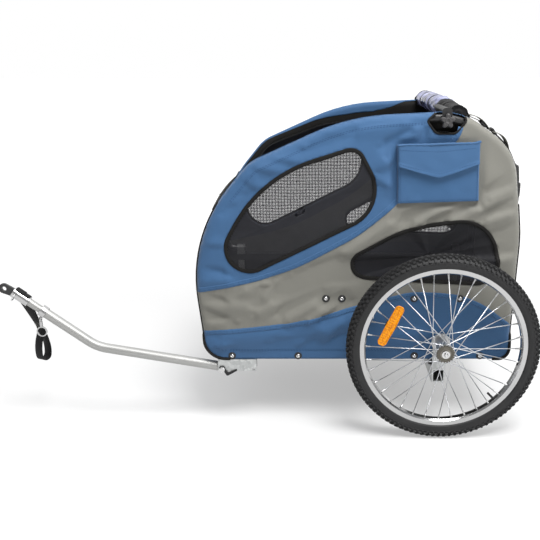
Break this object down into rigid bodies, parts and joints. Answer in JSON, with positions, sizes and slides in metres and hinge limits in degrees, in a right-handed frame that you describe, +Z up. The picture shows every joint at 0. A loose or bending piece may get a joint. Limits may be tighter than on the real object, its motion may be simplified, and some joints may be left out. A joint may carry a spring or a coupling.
{
  "type": "dog bike trailer",
  "caption": "Two-wheeled pet trailer for a bicycle: folding fabric cabin on a tube frame with mesh windows, side pocket, roof bar and a bent tow arm ending in a hitch eye.",
  "frame": {"origin": "middle of the bounding box's base, on the floor under the wheels", "axes": "+X towards the back of the trailer, the tow arm points along -X; +Z up; -Y is the side with the tow arm and the pocket"},
  "size_m": [1.384, 0.782, 0.8463],
  "materials": {
    "steel_frame": "satin silver paint",
    "board": "textured black",
    "black_plastic": "moulded black",
    "grey_fabric": "woven warm grey",
    "blue_fabric": "woven mid blue",
    "mesh_fabric": "open black mesh",
    "screw_steel": "bright plated",
    "tyre_rubber": "black tread",
    "rim_chrome": "polished",
    "spoke_steel": "bright drawn wire",
    "hub_alloy": "satin",
    "bearing_steel": "ground",
    "valve_rubber": "black",
    "amber_reflector": "moulded amber",
    "tube_alloy": "satin bright",
    "black_steel": "black coated",
    "strap_webbing": "black webbing",
    "cover_vinyl": "clear film rolled with dark edges"
  },
  "bodies": {
    "chassis": {"floor_frame": "steel_frame", "upper_rails": "steel_frame", "frame_posts": "steel_frame", "hinge_blocks": "black_plastic", "floor_board": "board", "axle_beam": "steel_frame", "axle_spacers": "steel_frame", "axle_plates": "steel_frame", "stub_axles": "steel_frame", "tow_bracket": "steel_frame", "left_skirt": "grey_fabric", "right_skirt": "grey_fabric", "front_skirt": "grey_fabric", "rear_skirt": "grey_fabric", "panel_screws": "screw_steel"},
    "left_side": {"left_hoop": "tube_alloy", "left_side_panel": "blue_fabric", "left_window_mesh": "mesh_fabric", "left_front_panel": "blue_fabric", "left_rear_panel": "blue_fabric", "pocket": "blue_fabric"},
    "right_side": {"right_hoop": "tube_alloy", "right_side_panel": "blue_fabric", "right_window_mesh": "mesh_fabric", "right_front_panel": "blue_fabric", "right_rear_panel": "blue_fabric"},
    "pocket_flap": {"pocket_flap": "blue_fabric"},
    "roof_bar": {"roof_bar": "tube_alloy", "roof_roll": "cover_vinyl"},
    "left_knob": {"left_knob": "black_plastic"},
    "right_knob": {"right_knob": "black_plastic"},
    "left_axle_button": {"left_axle_button": "screw_steel"},
    "right_axle_button": {"right_axle_button": "screw_steel"},
    "tow_pin": {"tow_pin": "screw_steel", "tow_pin_clip": "black_plastic"},
    "tow_arm": {"tow_arm": "tube_alloy", "arm_collar": "black_steel", "coupler_tube": "tube_alloy", "coupler_sleeve": "tube_alloy", "hitch_pin": "screw_steel", "safety_strap": "strap_webbing", "snap_hook": "screw_steel"},
    "hitch_eye": {"hitch_eye": "black_steel"},
    "hitch_clip": {"hitch_clip": "screw_steel"},
    "left_wheel": {"left_tyre": "tyre_rubber", "left_rim": "rim_chrome", "left_spokes": "spoke_steel", "left_hub": "hub_alloy", "left_bearings": "bearing_steel", "left_reflector": "amber_reflector", "left_valve": "valve_rubber"},
    "right_wheel": {"right_tyre": "tyre_rubber", "right_rim": "rim_chrome", "right_spokes": "spoke_steel", "right_hub": "hub_alloy", "right_bearings": "bearing_steel", "right_reflector": "amber_reflector", "right_valve": "valve_rubber"}
  },
  "joints": [
    {"name": "left_wheel_spin", "type": "hinge", "parent": "chassis", "child": "left_wheel", "pos_m": [0.447, -0.34, 0.245], "axis": [0, 1, 0], "continuous": true},
    {"name": "right_wheel_spin", "type": "hinge", "parent": "chassis", "child": "right_wheel", "pos_m": [0.447, 0.34, 0.245], "axis": [0, 1, 0], "continuous": true},
    {"name": "left_button_press", "type": "slide", "parent": "chassis", "child": "left_axle_button", "axis": [0, 1, 0], "range_m": [0, 0.003], "stiffness_N_per_m": 500},
    {"name": "right_button_press", "type": "slide", "parent": "chassis", "child": "right_axle_button", "axis": [0, -1, 0], "range_m": [0, 0.003], "stiffness_N_per_m": 500},
    {"name": "left_side_fold", "type": "hinge", "parent": "chassis", "child": "left_side", "pos_m": [0.2, -0.2506, 0.378], "axis": [-1, 0, 0], "range_deg": [0, 90], "deforming": ["left_front_panel", "left_rear_panel", "roof_roll"]},
    {"name": "right_side_fold", "type": "hinge", "parent": "chassis", "child": "right_side", "pos_m": [0.2, 0.2506, 0.349], "axis": [1, 0, 0], "range_deg": [0, 90], "deforming": ["right_front_panel", "right_rear_panel", "roof_roll"]},
    {"name": "pocket_flap_lift", "type": "hinge", "parent": "left_side", "child": "pocket_flap", "pos_m": [0.426, -0.2823, 0.746], "axis": [-1, 0, 0], "range_deg": [0, 150]},
    {"name": "roof_bar_lift", "type": "slide", "parent": "chassis", "child": "roof_bar", "axis": [0, 0, 1], "range_m": [0, 0.1]},
    {"name": "left_knob_turn", "type": "hinge", "parent": "roof_bar", "child": "left_knob", "pos_m": [0.442, -0.275, 0.799], "axis": [0, 1, 0], "continuous": true},
    {"name": "right_knob_turn", "type": "hinge", "parent": "roof_bar", "child": "right_knob", "pos_m": [0.442, 0.275, 0.799], "axis": [0, 1, 0], "continuous": true},
    {"name": "tow_pin_pull", "type": "slide", "parent": "chassis", "child": "tow_pin", "axis": [0, -1, 0], "range_m": [0, 0.06]},
    {"name": "tow_arm_fold", "type": "hinge", "parent": "chassis", "child": "tow_arm", "pos_m": [-0.122, -0.25, 0.154], "axis": [0, -1, 0], "range_deg": [0, 170]},
    {"name": "hitch_eye_tilt", "type": "hinge", "parent": "tow_arm", "child": "hitch_eye", "pos_m": [-0.64885, -0.25, 0.3587], "axis": [0, 1, 0], "range_deg": [-40, 40]},
    {"name": "hitch_clip_swing", "type": "hinge", "parent": "tow_arm", "child": "hitch_clip", "pos_m": [-0.64885, -0.25, 0.3587], "axis": [0, 1, 0], "range_deg": [-35, 35]}
  ]
}
